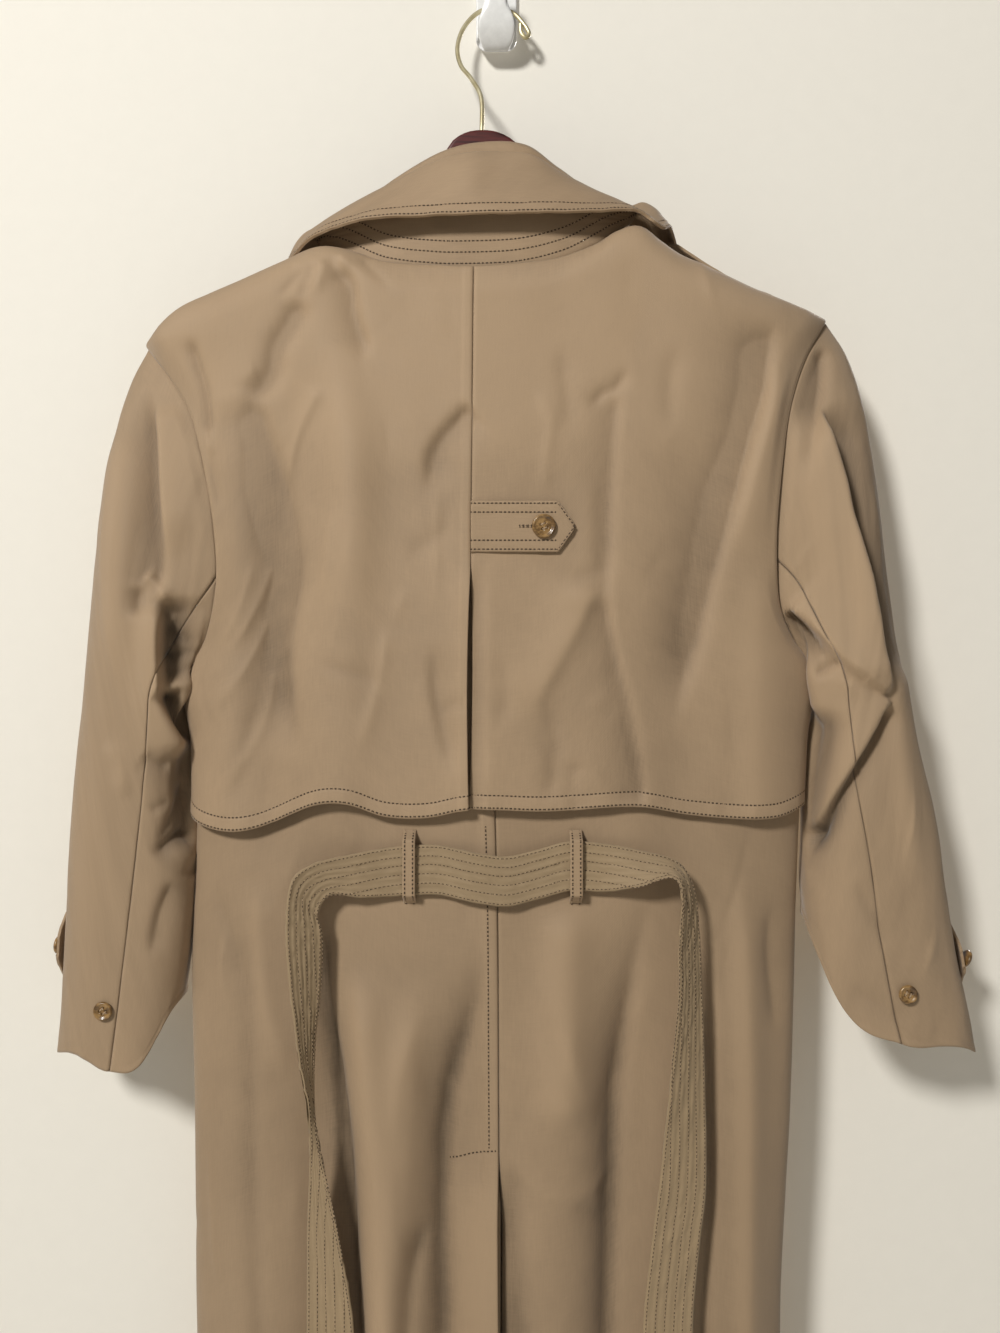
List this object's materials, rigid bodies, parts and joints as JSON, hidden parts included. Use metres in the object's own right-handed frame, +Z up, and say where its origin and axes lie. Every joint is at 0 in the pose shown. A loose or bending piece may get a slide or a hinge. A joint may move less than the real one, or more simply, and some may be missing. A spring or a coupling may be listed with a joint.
{
  "type": "trench coat on hanger and wall hook",
  "caption": "Belted khaki trench coat with storm yoke, hung on a wooden hanger from a white wall hook, back outwards.",
  "frame": {"origin": "centre of the wall hook's flat back face, where it meets the wall", "axes": "+Y out of the hook's back into the wall, +Z up, +X to the right as seen facing the coat's back"},
  "size_m": [0.7277, 0.1252, 1.3943],
  "materials": {
    "gabardine": "khaki cotton gabardine, slight sheen",
    "horn": "brown marbled horn pattern, polished",
    "wood": "dark mahogany lacquer",
    "wire": "pale brass, polished",
    "plastic": "white moulded plastic"
  },
  "bodies": {
    "root": {"back_left": "gabardine", "back_right": "gabardine", "back_tab": "gabardine", "belt": "gabardine", "belt_buckle": "horn", "belt_loop_left": "gabardine", "belt_loop_right": "gabardine", "button_back_tab": "horn", "button_cuff_left": "horn", "button_cuff_right": "horn", "button_epaulette_left": "horn", "button_epaulette_right": "horn", "button_front_1_1": "horn", "button_front_1_2": "horn", "button_front_2_1": "horn", "button_front_2_2": "horn", "button_front_3_1": "horn", "button_front_3_2": "horn", "button_strap_left": "horn", "button_strap_right": "horn", "button_waist": "horn", "collar_fall": "gabardine", "collar_stand": "gabardine", "cuff_strap_left": "gabardine", "cuff_strap_right": "gabardine", "epaulette_left": "gabardine", "epaulette_right": "gabardine", "front_left": "gabardine", "front_right": "gabardine", "hanger_wire": "wire", "hanger_wood": "wood", "lapel_left": "gabardine", "lapel_right": "gabardine", "sleeve_left_top": "gabardine", "sleeve_left_under": "gabardine", "sleeve_right_top": "gabardine", "sleeve_right_under": "gabardine", "vent_underlap": "gabardine", "wall_hook": "plastic", "yoke_left": "gabardine", "yoke_right": "gabardine"}
  },
  "joints": []
}
